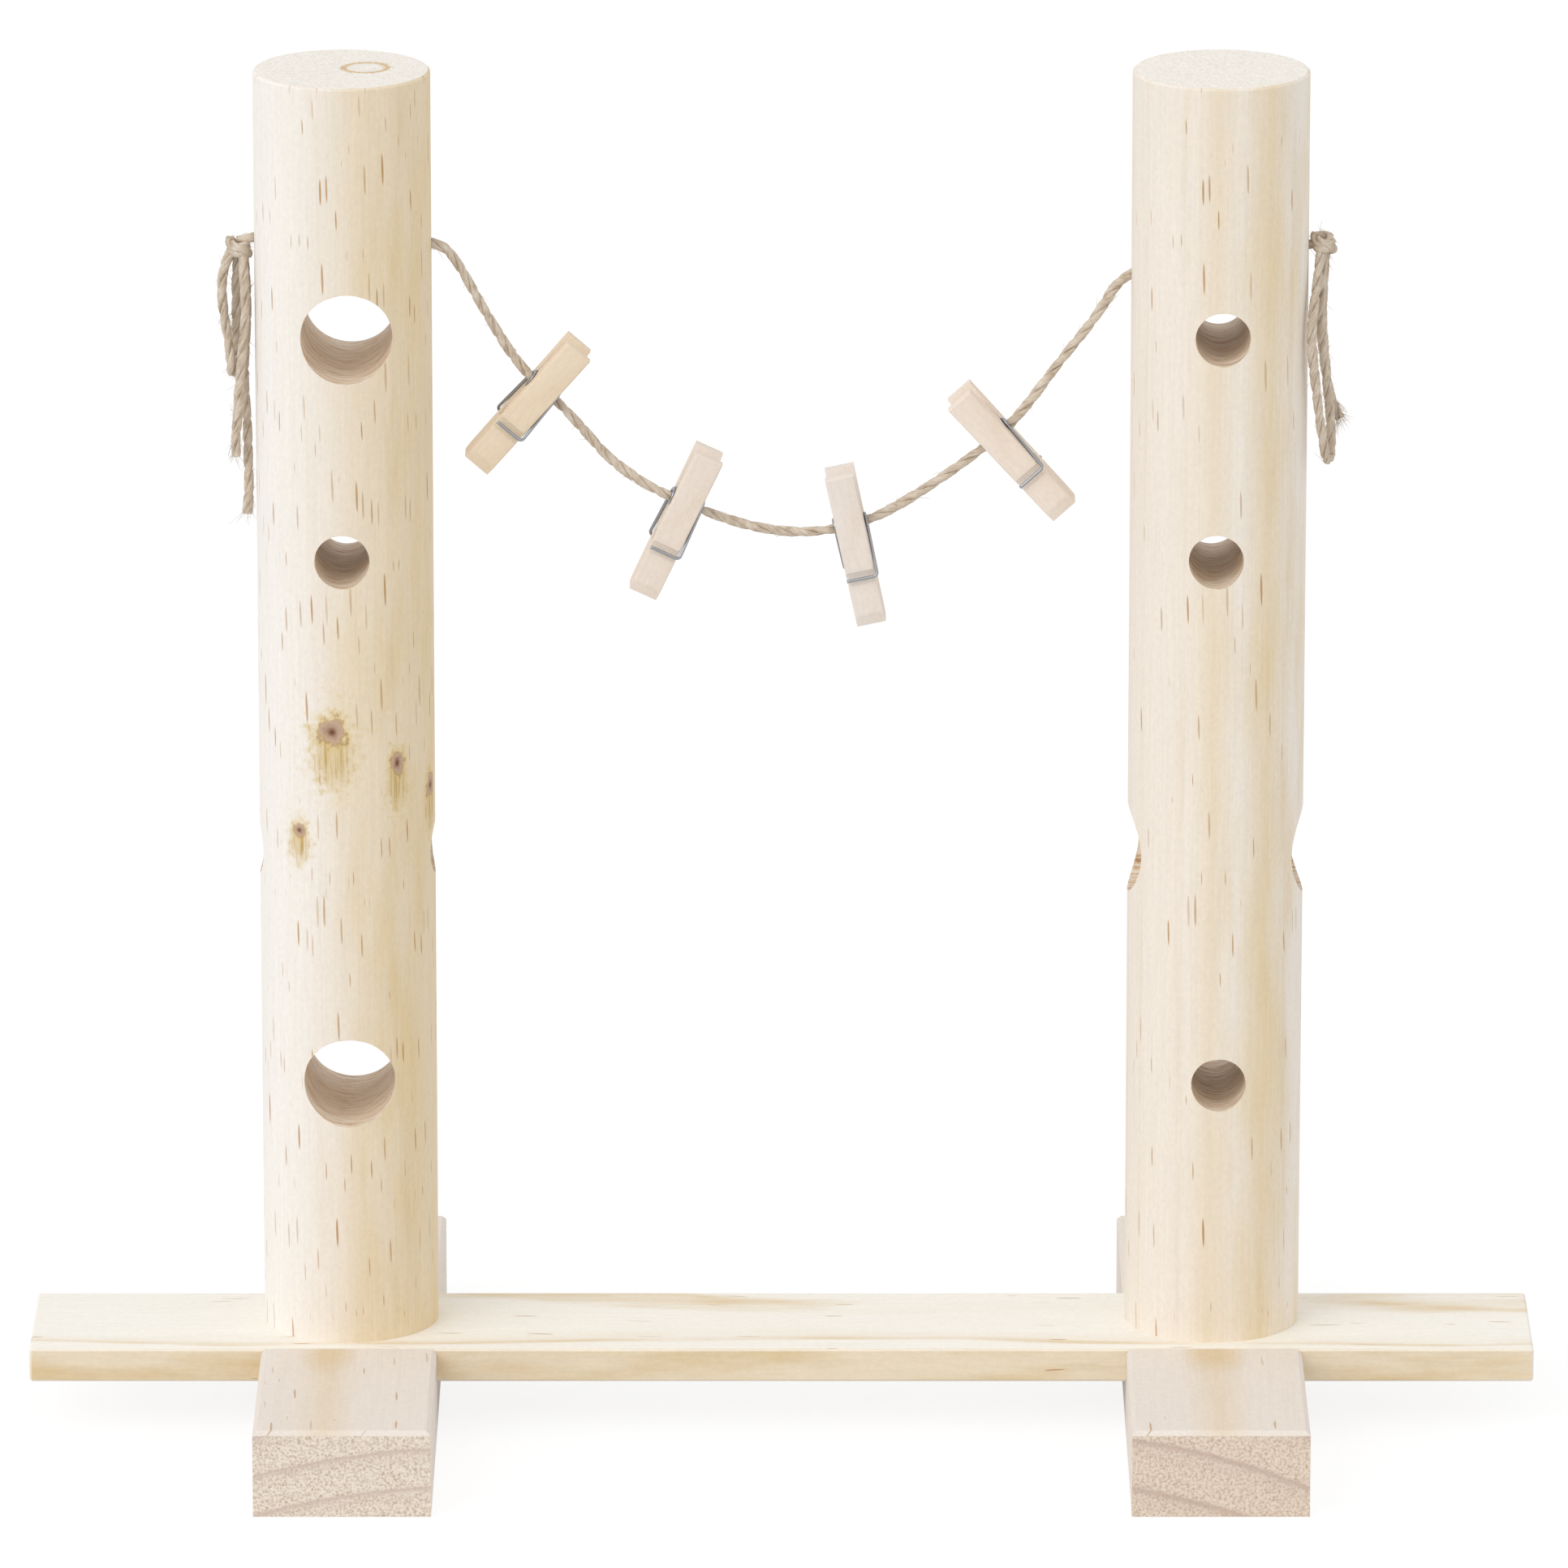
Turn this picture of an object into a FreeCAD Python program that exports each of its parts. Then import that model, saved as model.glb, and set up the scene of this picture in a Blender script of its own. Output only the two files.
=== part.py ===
import FreeCAD, Part
import math
import os

from FreeCAD import Matrix, Vector

# Forage stand: two drilled pine posts on a crossbar that is let flush into two feet. A jute twine is
# strung between the posts, and four small spring pegs hang on it by their coils.
# Millimetres, +Z up, +X to the right, -Y towards the viewer. The origin is on the floor, under the
# middle of the crossbar.

# Crossbar and feet
BOARD_LENGTH = 333.0
BOARD_DEPTH = 40.5
BOARD_THICKNESS = 7.6
BOARD_EASE = 0.5
FOOT_WIDTH = 38.8
FOOT_REACH = 57.5  # how far a foot runs out in front of the crossbar, and behind it
FOOT_HEIGHT = 19.5
FOOT_EASE = 1.0
NOTCH_CLEARANCE = 0.1  # each side of the crossbar in the foot's notch

# Posts
POST_DIAMETER = 38.7
POST_HEIGHT = 285.0
POST_SPACING = 191.5
POST_SET_BACK = 3.75  # the posts stand this far behind the middle of the crossbar
POST_EASE = 0.5

# Drilled holes: direction, height above the crossbar, diameter, sideways offset of the drill
BIG_HOLE = 20.0
SMALL_HOLE = 12.0
LEFT_HOLES = [
    ("through_y", 229.0, BIG_HOLE, 1.1),
    ("through_y", 179.0, SMALL_HOLE, -0.2),
    ("through_x", 109.2, SMALL_HOLE, 0.0),
    ("through_y", 60.0, BIG_HOLE, 0.5),
]
RIGHT_HOLES = [
    ("through_y", 229.0, SMALL_HOLE, 0.3),
    ("through_y", 179.0, SMALL_HOLE, -0.8),
    ("through_x", 109.2, BIG_HOLE, 0.0),
    ("through_y", 59.6, SMALL_HOLE, 0.6),
]

# Twine holes: heights above the crossbar at the outer and at the inner mouth
TWINE_HOLE = 3.4
LEFT_TWINE_LEVELS = (247.8, 246.5)
RIGHT_TWINE_LEVELS = (246.0, 239.9)

# Pan-head wood screws, one from below through each foot and the crossbar into the post
SCREW_DIAMETER = 4.5
SCREW_LENGTH = 45.0  # under the head
HEAD_DIAMETER = 8.6
HEAD_HEIGHT = 2.6
HEAD_SUNK = 2.0  # from the foot's underside to the head
COUNTERBORE = 10.0
SCREW_CLEARANCE = 0.25  # round the shank, in the wood that the screw passes through
PILOT_CLEARANCE = 0.02  # round the shank, in the wood that it bites
TIP_DIAMETER = 1.2
TIP_LENGTH = 2.6
RECESS_WIDTH = 1.0
RECESS_SPAN = 4.4
RECESS_DEPTH = 1.6

# Pegs. In a peg's own frame +X is the coil's axis, -Y is the front and -Z runs to the jaw.
PEG_WIDTH = 6.4
HANDLE_LENGTH = 12.3  # from the coil's axis to the handle's end
JAW_LENGTH = 22.2  # from the coil's axis to the jaw's end
HANDLE_OUTER = 5.9  # from the middle plane to the outer face, at the handle's end
JAW_OUTER = 4.3  # the same at the jaw's end
HANDLE_INNER = 3.0  # from the middle plane to the inner face, at the handle's end
PIVOT_INNER = 0.75  # the same beside the coil
GRIP_LENGTH = 7.0  # flat part of the jaw
GRIP_GAP = 0.06  # from the middle plane to the flat part of the jaw
BITE_PLACE = 9.4  # round notch in the jaw, from the coil's axis
BITE_RADIUS = 1.5
TIP_CHAMFER = (2.6, 0.9)
PEG_EASE = 0.25
GROOVE_PLACE = 11.2  # outer groove for the spring's end, from the coil's axis
GROOVE_RADIUS = 2.4
GROOVE_DEPTH = 0.55

# Peg springs
WIRE_DIAMETER = 0.72
WIRE_SIDES = 4  # of the faceted tube that stands for the round wire
COIL_BORE = 2.8
COIL_HALF_TURNS = 6  # of the whole wire, from arm to arm, with the turn that the arms take up
COIL_END = 3.65  # from the middle of the coil to the middle of its last turn's wire
COIL_CLOSING = 0.3  # how much the turns close up towards the coil's ends
COIL_CLEARANCE = 0.15
WIRE_CLEARANCE = 0.06
ARM_BEND = 0.9

# Where the four pegs hang: coil middle (X, height above the floor) and the coil axis's rise in degrees
PEG_PLACES = {
    "peg_1": (-52.3, 233.0, -41.0),
    "peg_2": (-21.0, 207.1, -25.2),
    "peg_3": (15.2, 202.0, 12.0),
    "peg_4": (47.1, 222.2, 42.2),
}

# Twine. Route points are (X, back from the posts' middle plane, height above the floor).
TWINE_DIAMETER = 2.2
TWINE_SIDES = 5  # of the faceted tubes that stand for the round twine
RUN_SHARE = 0.45  # the share of the shorter run that an arc takes
MOUTH_RADIUS = 3.2  # where the tight twine bends over a hole's edge
KNOT_WIDTH = 5.0
KNOT_HEIGHT = 4.4
KNOT_EASE = 1.2
KNOT_SIDES = 8
LEFT_KNOT = (-118.4, 0.0, 264.6)
RIGHT_KNOT = (118.4, 0.0, 265.6)

TWINE_LINE = [
    (-118.4, 0.0, 265.9),
    (-115.8, 0.0, 267.4),
    (-74.7, 0.0, 265.9),
    (-70.8, 0.0, 261.6),
    (-65.4, 0.0, 251.2),
    (-57.2, 0.0, 237.4),
    (-46.9, 0.0, 227.9),
    (-35.0, 0.0, 213.4),
    (-15.1, 0.0, 204.0),
    (-2.3, 0.0, 200.5),
    (8.8, 0.0, 200.2),
    (20.3, 0.0, 203.2),
    (30.6, 0.0, 209.4),
    (42.9, 0.0, 218.2),
    (51.4, 0.0, 225.7),
    (60.9, 0.0, 239.0),
    (69.0, 0.0, 249.2),
    (74.7, 0.0, 259.2),
    (115.6, 0.0, 265.6),
    (118.4, 0.0, 265.2),
]
LINE_MOUTHS = (1, 2, 17, 18)

LEFT_BOW_LOOP = [
    (-120.0, -0.6, 264.2),
    (-121.9, -1.2, 260.4),
    (-122.3, -1.4, 254.6),
    (-121.6, -1.0, 248.2),
    (-120.6, -2.2, 242.6),
    (-120.2, -2.45, 237.6),
    (-120.0, 0.1, 236.1),
    (-119.8, 2.65, 237.6),
    (-119.4, 2.7, 242.0),
    (-119.2, 1.9, 247.4),
    (-119.2, 1.2, 253.6),
    (-119.0, 0.6, 259.6),
    (-118.6, 0.3, 263.6),
]
LEFT_SHORT_TAIL = [
    (-117.6, -0.8, 263.8),
    (-117.3, -2.9, 258.8),
    (-116.9, -3.9, 251.4),
    (-117.6, -3.7, 243.6),
    (-118.4, -3.2, 235.6),
    (-118.9, -2.6, 227.8),
    (-119.6, -2.4, 220.6),
    (-119.3, -2.2, 218.2),
]
LEFT_LONG_TAIL = [
    (-117.6, 0.8, 263.8),
    (-117.2, 3.2, 258.6),
    (-116.9, 4.6, 251.0),
    (-117.4, 4.9, 242.6),
    (-117.9, 2.9, 234.0),
    (-117.0, 1.2, 226.0),
    (-116.9, 0.4, 217.0),
    (-116.7, 0.2, 209.4),
    (-117.2, 0.0, 204.6),
]
RIGHT_BOW_LOOP = [
    (117.8, -1.0, 264.4),
    (117.1, -3.4, 259.4),
    (116.2, -5.9, 253.4),
    (115.6, -7.3, 247.0),
    (116.0, -7.2, 240.8),
    (116.8, -6.3, 234.2),
    (117.6, -5.5, 227.6),
    (118.6, -5.0, 221.4),
    (119.3, -4.2, 217.4),
    (120.3, 0.4, 217.2),
    (120.4, 0.9, 221.4),
    (120.2, 0.4, 227.2),
    (119.4, -0.4, 234.2),
    (118.4, -1.2, 241.4),
    (117.7, -1.6, 249.0),
    (117.9, -1.0, 256.6),
    (118.3, -0.4, 263.8),
]
RIGHT_TAIL = [
    (119.0, 1.0, 264.6),
    (118.6, 2.4, 258.6),
    (118.2, 3.2, 250.4),
    (118.6, 3.6, 242.2),
    (119.4, 3.4, 234.6),
    (120.6, 2.6, 229.0),
    (122.4, 1.6, 225.6),
]

# Worked out from the sizes above
BOARD_TOP = FOOT_HEIGHT
POST_RADIUS = POST_DIAMETER / 2
POST_PLACES = {"left": -POST_SPACING / 2, "right": POST_SPACING / 2}
TWINE_RADIUS = TWINE_DIAMETER / 2
WIRE_RADIUS = WIRE_DIAMETER / 2
COIL_RADIUS = COIL_BORE / 2 + WIRE_RADIUS
PIVOT_RADIUS = COIL_RADIUS + WIRE_RADIUS + COIL_CLEARANCE

X_AXIS = Vector(1, 0, 0)
Y_AXIS = Vector(0, 1, 0)
Z_AXIS = Vector(0, 0, 1)


def save(name, shape):
    """Write one piece to its own file."""
    shape.exportStep(f"parts/{name}.step")


def hole(start, direction, diameter, length):
    """A round cutter that starts at a point."""
    return Part.makeCylinder(diameter / 2, length, start, direction)


def edges_where(shape, test):
    """The shape's edges whose two ends both pass the test."""
    return [e for e in shape.Edges if len(e.Vertexes) == 2 and all(test(v.Point) for v in e.Vertexes)]


# Frame


def make_board():
    corner = Vector(-BOARD_LENGTH / 2, -BOARD_DEPTH / 2, BOARD_TOP - BOARD_THICKNESS)
    board = Part.makeBox(BOARD_LENGTH, BOARD_DEPTH, BOARD_THICKNESS, corner)
    board = board.makeChamfer(BOARD_EASE, board.Edges)
    for x in POST_PLACES.values():
        board = board.cut(screw_hole(x, SCREW_CLEARANCE, 0, BOARD_TOP))
    return board


def make_foot(x):
    length = BOARD_DEPTH + 2 * FOOT_REACH
    foot = Part.makeBox(FOOT_WIDTH, length, FOOT_HEIGHT, Vector(x - FOOT_WIDTH / 2, -length / 2, 0))
    top_edges = edges_where(foot, lambda p: p.z > FOOT_HEIGHT / 2)
    foot = foot.makeChamfer(FOOT_EASE, top_edges)
    notch_depth = BOARD_DEPTH + 2 * NOTCH_CLEARANCE
    notch_floor = BOARD_TOP - BOARD_THICKNESS
    corner = Vector(x - FOOT_WIDTH, -notch_depth / 2, notch_floor)
    foot = foot.cut(Part.makeBox(2 * FOOT_WIDTH, notch_depth, FOOT_HEIGHT, corner))
    foot = foot.cut(screw_hole(x, SCREW_CLEARANCE, 0, BOARD_TOP))
    return foot.cut(hole(Vector(x, POST_SET_BACK, 0), Z_AXIS, COUNTERBORE, HEAD_SUNK + HEAD_HEIGHT))


def make_post(x, holes, twine_levels):
    """A round post with its cross holes, its twine hole and the pilot hole for its screw."""
    middle = Vector(x, POST_SET_BACK, BOARD_TOP)
    post = Part.makeCylinder(POST_RADIUS, POST_HEIGHT, middle)
    rim = [e for e in post.Edges if e.CenterOfMass.z > BOARD_TOP + POST_HEIGHT - POST_EASE]
    post = post.makeChamfer(POST_EASE, rim)
    for direction, level, diameter, offset in holes:
        if direction == "through_y":
            start = middle + Vector(offset, -POST_DIAMETER, level)
            post = post.cut(hole(start, Y_AXIS, diameter, 2 * POST_DIAMETER))
        else:
            start = middle + Vector(-POST_DIAMETER, offset, level)
            post = post.cut(hole(start, X_AXIS, diameter, 2 * POST_DIAMETER))
    post = post.cut(twine_hole(x, twine_levels))
    return post.cut(screw_hole(x, PILOT_CLEARANCE, BOARD_TOP, HEAD_SUNK + HEAD_HEIGHT + SCREW_LENGTH))


def twine_hole(x, levels):
    """A hole from the post's outer side to its inner side, which faces the other post."""
    inward = -math.copysign(1, x)
    outer_mouth = Vector(x - inward * POST_RADIUS, POST_SET_BACK, BOARD_TOP + levels[0])
    inner_mouth = Vector(x + inward * POST_RADIUS, POST_SET_BACK, BOARD_TOP + levels[1])
    way = (inner_mouth - outer_mouth).normalize()
    start = outer_mouth - way * POST_RADIUS
    return hole(start, way, TWINE_HOLE, 2 * POST_DIAMETER)


# Screws


def screw_hole(x, clearance, low, high):
    start = Vector(x, POST_SET_BACK, low)
    return hole(start, Z_AXIS, SCREW_DIAMETER + 2 * clearance, high - low)


def make_screw(x):
    """A pan-head screw that points up, with a cross recess and a tapered point."""
    start = Vector(x, POST_SET_BACK, HEAD_SUNK)
    end = HEAD_HEIGHT + SCREW_LENGTH
    profile = [
        (0, 0),
        (HEAD_DIAMETER / 2, 0),
        (HEAD_DIAMETER / 2, HEAD_HEIGHT),
        (SCREW_DIAMETER / 2, HEAD_HEIGHT),
        (SCREW_DIAMETER / 2, end - TIP_LENGTH),
        (TIP_DIAMETER / 2, end),
        (0, end),
    ]
    points = [start + Vector(r, 0, h) for r, h in profile]
    screw = Part.Face(Part.makePolygon(points + points[:1])).revolve(start, Z_AXIS, 360)
    for wide, deep in ((RECESS_SPAN, RECESS_WIDTH), (RECESS_WIDTH, RECESS_SPAN)):
        corner = start - Vector(wide / 2, deep / 2, 0)
        screw = screw.cut(Part.makeBox(wide, deep, RECESS_DEPTH, corner))
    return screw


# Pegs


def outer_face(v):
    """How far a lever's outer face is from the middle plane, v along the peg from the coil's axis."""
    share = (JAW_LENGTH - v) / (JAW_LENGTH + HANDLE_LENGTH)
    return JAW_OUTER + (HANDLE_OUTER - JAW_OUTER) * share


def make_front_lever():
    """One wooden lever in the peg's frame: a tapered profile with the grooves that the spring sits in."""
    chamfer_along, chamfer_deep = TIP_CHAMFER
    profile = [
        (JAW_LENGTH, GRIP_GAP),
        (JAW_LENGTH - GRIP_LENGTH, GRIP_GAP),
        (PIVOT_RADIUS, PIVOT_INNER),
        (-PIVOT_RADIUS, PIVOT_INNER),
        (-HANDLE_LENGTH, HANDLE_INNER),
        (-HANDLE_LENGTH, HANDLE_OUTER),
        (JAW_LENGTH - chamfer_along, outer_face(JAW_LENGTH - chamfer_along)),
        (JAW_LENGTH, JAW_OUTER - chamfer_deep),
    ]
    points = [Vector(-PEG_WIDTH / 2, -w, -v) for v, w in profile]
    lever = Part.Face(Part.makePolygon(points + points[:1])).extrude(X_AXIS * PEG_WIDTH)
    outer_edges = edges_where(lever, lambda p: -p.y >= outer_face(-p.z) - 1e-6)
    lever = lever.makeChamfer(PEG_EASE, outer_edges)
    for radius, v, w in (
        (PIVOT_RADIUS, 0.0, 0.0),
        (BITE_RADIUS, BITE_PLACE, 0.0),
        (GROOVE_RADIUS, GROOVE_PLACE, outer_face(GROOVE_PLACE) - GROOVE_DEPTH + GROOVE_RADIUS),
    ):
        start = Vector(-PEG_WIDTH, -w, -v)
        lever = lever.cut(hole(start, X_AXIS, 2 * radius, 2 * PEG_WIDTH))
    return lever


def mirrored_front_to_back(shape):
    return shape.mirror(Vector(0, 0, 0), Y_AXIS)


def biarc(start, start_way, end, end_way):
    """Two arcs that join two points smoothly, and the points halfway along them and where they meet."""
    gap = end - start
    ways = start_way + end_way
    a = ways.dot(ways) - 4
    b = -2 * gap.dot(ways)
    c = gap.dot(gap)
    leg = (-b - math.sqrt(b * b - 4 * a * c)) / (2 * a)
    corners = (start + start_way * leg, end - end_way * leg)
    join = (corners[0] + corners[1]) * 0.5
    return [arc_at_corner(start, corners[0], join), arc_at_corner(join, corners[1], end)]


def arc_at_corner(start, corner, end):
    """The arc that touches both equal legs of a corner."""
    chord_middle = (start + end) * 0.5
    half_chord = (end - start).Length / 2
    half_turn = math.acos(max(-1.0, min(1.0, half_chord / (corner - start).Length)))
    rise = half_chord * math.tan(half_turn / 2)
    apex = chord_middle + (corner - chord_middle).normalize() * rise
    return Part.Arc(start, apex, end)


def spring_arm_angle(reach):
    """The angle of an arm in the peg's side view, from the coil's rim to the groove in the lever."""
    distance = math.hypot(GROOVE_PLACE, reach)
    return math.atan2(reach, GROOVE_PLACE) - math.asin(COIL_RADIUS / distance)


def make_spring():
    """The coil with its two arms and crossing ends, as one unbroken wire in the peg's frame.

    The right-hand arm crosses the front lever and the left-hand arm crosses the back lever.
    """
    reach = outer_face(GROOVE_PLACE) - GROOVE_DEPTH + WIRE_RADIUS + WIRE_CLEARANCE
    tilt = spring_arm_angle(reach)
    turn = COIL_HALF_TURNS * math.pi - math.pi - 2 * tilt

    def on_coil(share):
        angle = -(math.pi / 2 + tilt) - turn * share
        along = 2 * share - 1
        across = COIL_END * ((1 + COIL_CLOSING) * along - COIL_CLOSING * along**3)
        rise = 2 * COIL_END * (1 + COIL_CLOSING - 3 * COIL_CLOSING * along**2) / turn
        place = Vector(across, -COIL_RADIUS * math.sin(angle), -COIL_RADIUS * math.cos(angle))
        way = Vector(rise, COIL_RADIUS * math.cos(angle), -COIL_RADIUS * math.sin(angle))
        return place, way.normalize()

    pieces = COIL_HALF_TURNS - 1
    coil = []
    for i in range(pieces):
        start, start_way = on_coil(i / pieces)
        end, end_way = on_coil((i + 1) / pieces)
        coil += biarc(start, start_way, end, end_way)

    def arm(place, way, side):
        """From the coil's rim along its tangent, round a bend and across the lever."""
        length = (GROOVE_PLACE + place.z) / -way.z
        corner = place + way * length
        across = Vector(-side, 0, 0)
        half = (math.pi - way.getAngle(across)) / 2
        leg = ARM_BEND / math.tan(half)
        bend_start = corner - way * leg
        bend_end = corner + across * leg
        end = Vector(-side * PEG_WIDTH / 2, corner.y, corner.z)
        bend = arc_at_corner(bend_start, corner, bend_end)
        return [Part.LineSegment(place, bend_start), bend, Part.LineSegment(bend_end, end)]

    first, first_way = on_coil(0)
    last, last_way = on_coil(1)
    left_arm = arm(first, first_way * -1, -1)
    right_arm = arm(last, last_way, 1)
    edges = [g.toShape() for g in left_arm[::-1] + coil + right_arm]
    path = Part.Wire(Part.__sortEdges__(edges))
    print_coil_gap(on_coil, turn)
    return tube(path, first_point(path), WIRE_RADIUS, WIRE_SIDES)


def print_coil_gap(on_coil, turn):
    """Measure the least gap between neighbouring turns on points along the coil."""
    steps = 400
    points = [on_coil(i / steps)[0] for i in range(steps + 1)]
    apart = int(steps * math.pi / turn)
    least = min(
        (points[i] - points[j]).Length
        for i in range(steps + 1)
        for j in range(i + apart, steps + 1)
    )
    print(f"peg spring: least gap of the coil to itself {least - WIRE_DIAMETER:.2f} mm")


def placed(shape, x, z, rise_degrees):
    """Carry a shape from the peg's own frame to its place on the twine."""
    move = Matrix()
    move.rotateY(-math.radians(rise_degrees))
    move.move(Vector(x, POST_SET_BACK, z))
    return shape.transformed(move)


# Twine


def first_point(path):
    """A path's start, with its direction there."""
    edge = path.OrderedEdges[0]
    reverse = edge.Orientation == "Reversed"
    at = edge.LastParameter if reverse else edge.FirstParameter
    way = edge.tangentAt(at)
    return edge.valueAt(at), way * -1 if reverse else way


def tube(path, start, radius, sides):
    """A solid faceted tube along a path, with its corners on the round one."""
    place, way = start
    across = way.cross(Y_AXIS).normalize() * radius
    other = way.cross(across).normalize() * radius
    turns = [2 * math.pi * i / sides for i in range(sides)]
    points = [place + across * math.cos(t) + other * math.sin(t) for t in turns]
    return path.makePipeShell([Part.makePolygon(points + points[:1])], True, False)


def rounded_path(name, points, mouths=()):
    """Straight runs joined by tangent arcs, each as large as its two runs allow."""
    geometry = []
    radii = []
    here = points[0]
    for i in range(1, len(points) - 1):
        back = points[i - 1] - points[i]
        ahead = points[i + 1] - points[i]
        half_turn = (math.pi - back.getAngle(ahead)) / 2
        leg = RUN_SHARE * min(back.Length, ahead.Length)
        if i in mouths:
            leg = min(leg, MOUTH_RADIUS * math.tan(half_turn))
        radii.append(leg / math.tan(half_turn))
        arc_start = points[i] + back.normalize() * leg
        arc_end = points[i] + ahead.normalize() * leg
        geometry.append(Part.LineSegment(here, arc_start))
        geometry.append(arc_at_corner(arc_start, points[i], arc_end))
        here = arc_end
    geometry.append(Part.LineSegment(here, points[-1]))
    print(f"{name}: arc radii in mm", " ".join(f"{r:.1f}" for r in radii))
    return Part.Wire([g.toShape() for g in geometry])


def make_twine(name, route, mouths=()):
    points = [Vector(x, POST_SET_BACK + back, z) for x, back, z in route]
    path = rounded_path(name, points, mouths)
    solid = tube(path, first_point(path), TWINE_RADIUS, TWINE_SIDES)
    section = TWINE_SIDES * TWINE_RADIUS**2 * math.sin(2 * math.pi / TWINE_SIDES) / 2
    wanted = section * path.Length
    print(f"{name}: {path.Length:.1f} mm long, volume over section times length {solid.Volume / wanted:.4f}")
    return solid


def make_knot(place):
    """A faceted lump the size of the tied knot, drawn in at its top and bottom."""
    x, back, z = place
    bottom = Vector(x, POST_SET_BACK + back, z - KNOT_HEIGHT / 2)
    turns = [2 * math.pi * i / KNOT_SIDES for i in range(KNOT_SIDES)]
    points = [bottom + Vector(math.cos(t), math.sin(t), 0) * (KNOT_WIDTH / 2) for t in turns]
    knot = Part.Face(Part.makePolygon(points + points[:1])).extrude(Z_AXIS * KNOT_HEIGHT)
    ends = edges_where(knot, lambda p: p.z < z) + edges_where(knot, lambda p: p.z > z)
    return knot.makeChamfer(KNOT_EASE, ends)


def main():
    os.makedirs("parts", exist_ok=True)
    save("crossbar", make_board())
    for side, x in POST_PLACES.items():
        holes, levels = {
            "left": (LEFT_HOLES, LEFT_TWINE_LEVELS),
            "right": (RIGHT_HOLES, RIGHT_TWINE_LEVELS),
        }[side]
        save(f"{side}_foot", make_foot(x))
        save(f"{side}_post", make_post(x, holes, levels))
        save(f"{side}_post_screw", make_screw(x))

    front_lever = make_front_lever()
    back_lever = mirrored_front_to_back(front_lever)
    spring = make_spring()
    for peg, place in PEG_PLACES.items():
        save(f"{peg}_front_lever", placed(front_lever, *place))
        save(f"{peg}_back_lever", placed(back_lever, *place))
        save(f"{peg}_spring", placed(spring, *place))

    save("twine_line", make_twine("twine_line", TWINE_LINE, LINE_MOUTHS))
    save("left_bow_loop", make_twine("left_bow_loop", LEFT_BOW_LOOP))
    save("left_short_tail", make_twine("left_short_tail", LEFT_SHORT_TAIL))
    save("left_long_tail", make_twine("left_long_tail", LEFT_LONG_TAIL))
    save("right_bow_loop", make_twine("right_bow_loop", RIGHT_BOW_LOOP))
    save("right_tail", make_twine("right_tail", RIGHT_TAIL))
    save("left_knot", make_knot(LEFT_KNOT))
    save("right_knot", make_knot(RIGHT_KNOT))


main()
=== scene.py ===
import math

import bpy
import numpy as np
from mathutils import Matrix, Vector


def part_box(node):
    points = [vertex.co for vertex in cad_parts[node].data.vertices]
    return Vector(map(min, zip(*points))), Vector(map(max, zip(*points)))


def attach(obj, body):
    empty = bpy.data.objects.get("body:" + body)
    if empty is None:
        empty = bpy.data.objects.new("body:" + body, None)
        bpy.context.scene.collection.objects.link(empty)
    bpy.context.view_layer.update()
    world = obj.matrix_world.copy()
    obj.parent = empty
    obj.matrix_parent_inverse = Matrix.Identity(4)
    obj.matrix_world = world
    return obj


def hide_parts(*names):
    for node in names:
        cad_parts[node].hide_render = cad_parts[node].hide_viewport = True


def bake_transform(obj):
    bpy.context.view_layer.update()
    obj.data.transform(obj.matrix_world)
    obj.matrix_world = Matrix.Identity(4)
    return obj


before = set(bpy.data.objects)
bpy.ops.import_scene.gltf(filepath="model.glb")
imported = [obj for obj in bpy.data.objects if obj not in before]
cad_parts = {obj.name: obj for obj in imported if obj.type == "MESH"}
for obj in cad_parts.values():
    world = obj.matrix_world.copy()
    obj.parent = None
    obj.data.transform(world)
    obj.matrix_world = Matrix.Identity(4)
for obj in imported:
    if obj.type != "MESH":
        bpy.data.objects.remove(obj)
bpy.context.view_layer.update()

# A pine forage stand: two drilled posts on a crossbar let into two feet, and a jute twine with four spring pegs.
# Metres, +Z up, +X to the right, -Y towards the viewer. The origin is on the floor, under the crossbar's middle.

MM = 0.001

# Frame
BOARD_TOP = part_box("crossbar")[1].z
BOARD_HALF_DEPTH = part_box("crossbar")[1].y
POST_X = {side: sum(corner.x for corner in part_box(f"{side}_post")) / 2 for side in ("left", "right")}
POST_Y = sum(corner.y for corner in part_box("left_post")) / 2
POST_RADIUS = (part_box("left_post")[1].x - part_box("left_post")[0].x) / 2
FOOT_HALF_WIDTH = (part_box("left_foot")[1].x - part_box("left_foot")[0].x) / 2

# Drilled holes: how far each is from the post's middle plane, its height above the crossbar and its radius
HOLES = {
    "left": {
        "front_to_back": ((0.0011, 0.229, 0.010), (-0.0002, 0.179, 0.006), (0.0005, 0.060, 0.010)),
        "side_to_side": ((0.0, 0.1092, 0.006),),
    },
    "right": {
        "front_to_back": ((0.0003, 0.229, 0.006), (-0.0008, 0.179, 0.006), (0.0006, 0.0596, 0.006)),
        "side_to_side": ((0.0, 0.1092, 0.010),),
    },
}

# Knots on the left post's front: place across and up, half width and half height
KNOTS = (
    (-0.0984, 0.1600, 0.0027, 0.0029),
    (-0.0843, 0.1520, 0.0013, 0.0024),
    (-0.1059, 0.1369, 0.0013, 0.0017),
    (-0.0773, 0.1443, 0.0007, 0.0024),
)

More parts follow.
